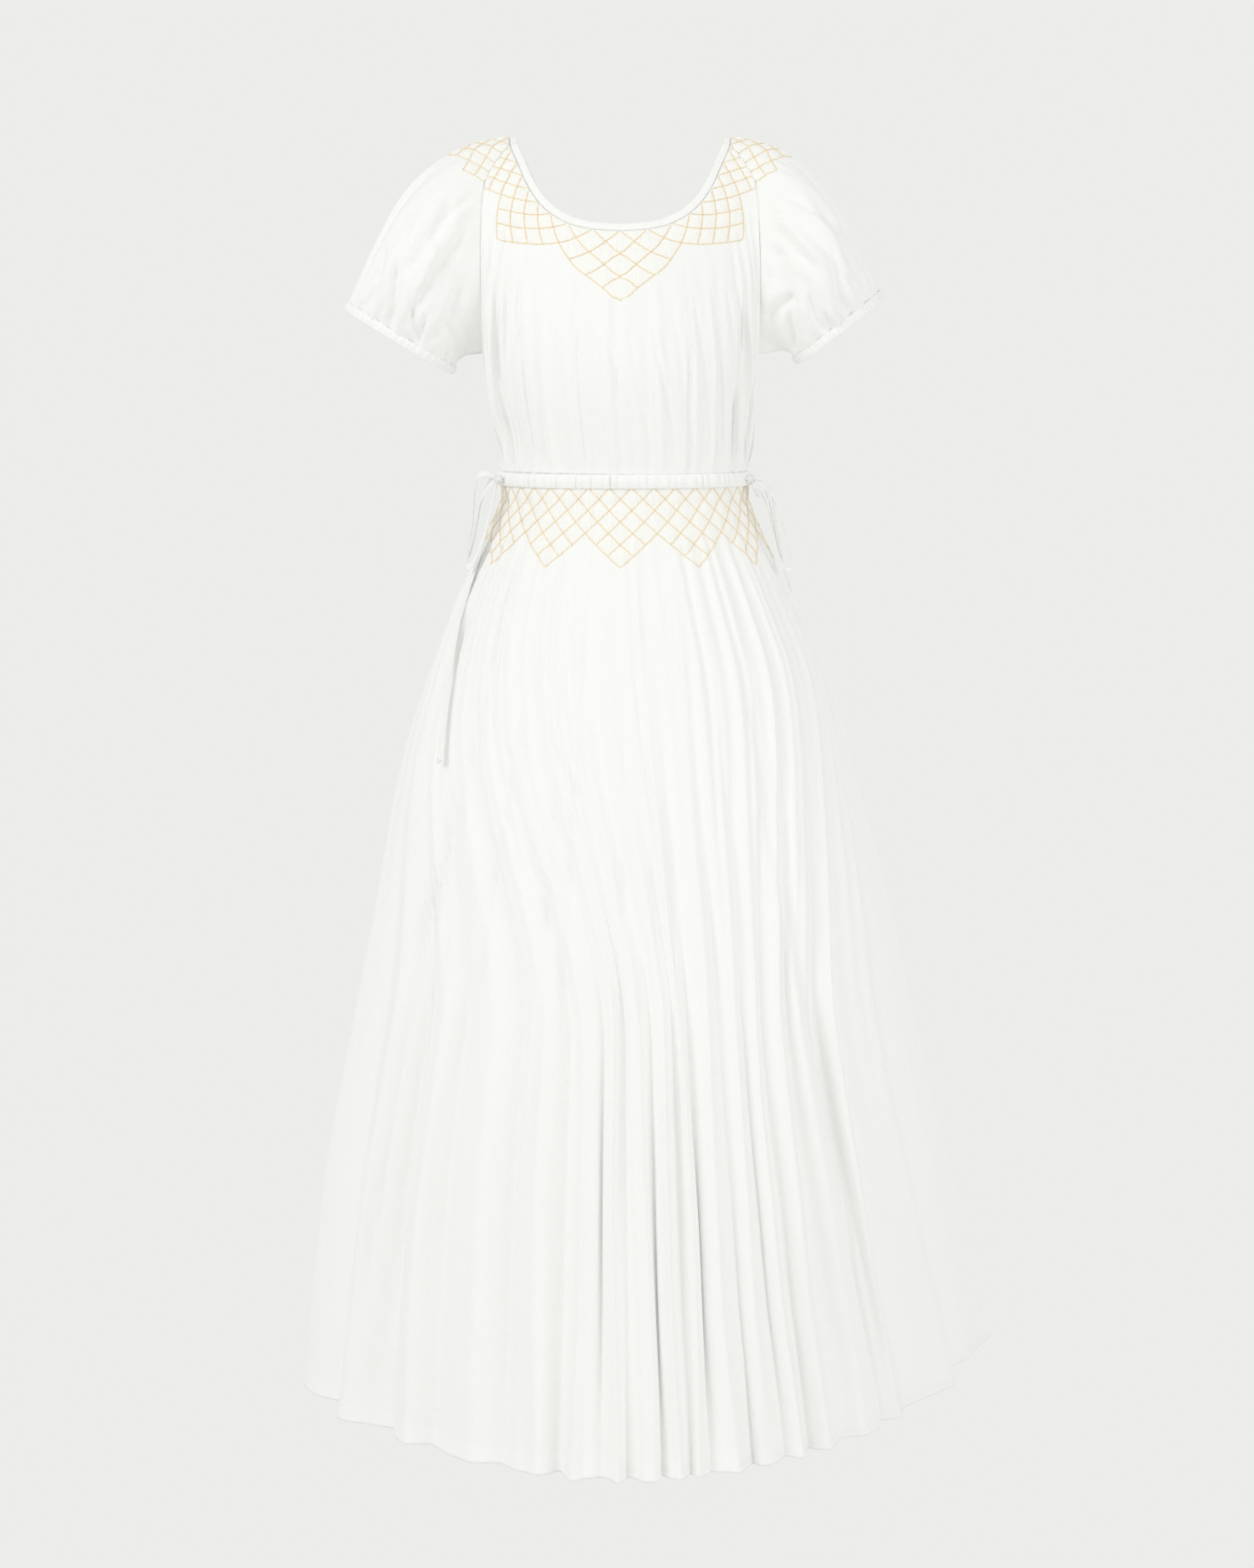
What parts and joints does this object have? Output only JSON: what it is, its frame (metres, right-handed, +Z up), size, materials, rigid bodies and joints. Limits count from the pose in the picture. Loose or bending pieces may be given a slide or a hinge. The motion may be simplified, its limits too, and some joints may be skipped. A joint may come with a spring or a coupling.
{
  "type": "dress",
  "caption": "Long peasant dress with puff sleeves, smocked neck and hip, a drawstring waist and a full gathered skirt.",
  "frame": {"origin": "between the two shoulder points, level with them, where the wearer's shoulders carry the dress", "axes": "+Z up towards the head, -Y out of the front of the dress, +X towards the side that shows on the right from the front"},
  "size_m": [0.8037, 0.6817, 1.3898],
  "materials": {
    "cotton_voile": "fine white plain-woven cotton voile, slightly slubbed, matt",
    "binding_voile": "the same white voile folded double, as bias binding, casing, cuffs and ties"
  },
  "bodies": {
    "root": {"bodice_front": "cotton_voile", "bodice_back": "cotton_voile", "sleeve_left": "cotton_voile", "sleeve_right": "cotton_voile", "skirt_front": "cotton_voile", "skirt_back": "cotton_voile", "neck_binding": "binding_voile", "cuff_left": "binding_voile", "cuff_right": "binding_voile", "waist_casing": "binding_voile", "tie_knot_left": "binding_voile", "tie_knot_right": "binding_voile", "tie_loop_left": "binding_voile", "tie_loop_right": "binding_voile", "tie_loop_back_left": "binding_voile", "tie_loop_back_right": "binding_voile", "tie_tail_left": "binding_voile", "tie_tail_right": "binding_voile"}
  },
  "joints": []
}
